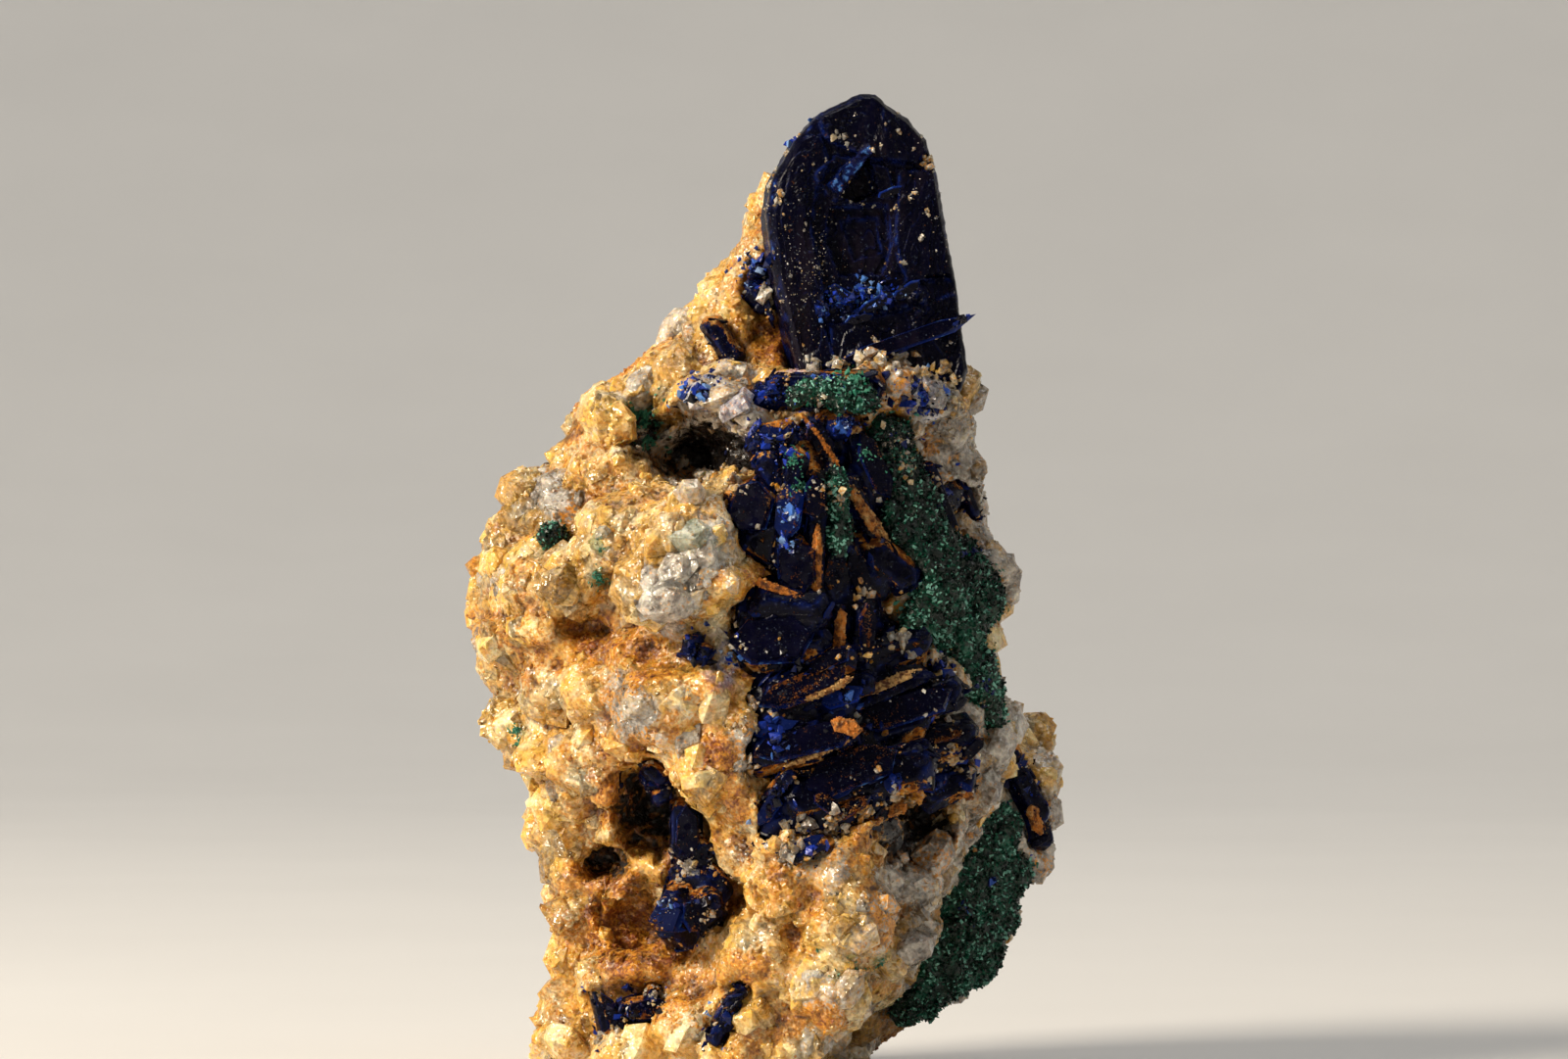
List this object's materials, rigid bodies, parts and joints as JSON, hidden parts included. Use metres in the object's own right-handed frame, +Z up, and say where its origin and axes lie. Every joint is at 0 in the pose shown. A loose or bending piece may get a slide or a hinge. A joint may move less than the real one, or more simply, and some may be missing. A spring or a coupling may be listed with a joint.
{
  "type": "azurite specimen",
  "caption": "Rock of quartz grains and limonite with dark blue azurite blades and green malachite crusts, standing on a flat broken base.",
  "frame": {"origin": "on the flat base, under the middle of the rock", "axes": "+Z up out of the flat base along the specimen's height, -Y towards its best side, +X to the right seen from that side"},
  "size_m": [0.0439, 0.0349, 0.0712],
  "materials": {
    "quartz_rock": "sugary quartz grains with ochre limonite stain",
    "azurite": "vitreous crystal faces, near black with deep blue edges",
    "malachite": "fine velvety to sparkling crystal crust"
  },
  "bodies": {
    "root": {"matrix": "quartz_rock", "azurite_blade": "azurite", "azurite_thorn": "azurite", "azurite_dark_shards": "azurite", "azurite_ledge": "azurite", "azurite_ledge_blue": "azurite", "azurite_crown_blue": "azurite", "azurite_columns": "azurite", "azurite_stack": "azurite", "azurite_right_blades": "azurite", "azurite_left_patch": "azurite", "azurite_cleft": "azurite", "azurite_lens": "azurite", "azurite_vug_blade": "azurite", "azurite_vug_shards": "azurite", "azurite_knob": "azurite", "azurite_foot_cluster": "azurite", "azurite_slivers": "azurite", "azurite_rear_blades": "azurite", "azurite_back_cluster": "azurite", "azurite_back_foot": "azurite", "malachite_column": "malachite", "malachite_ball": "malachite", "malachite_cap": "malachite", "malachite_crust": "malachite", "malachite_rear_crust": "malachite", "malachite_back_crust": "malachite"}
  },
  "joints": []
}
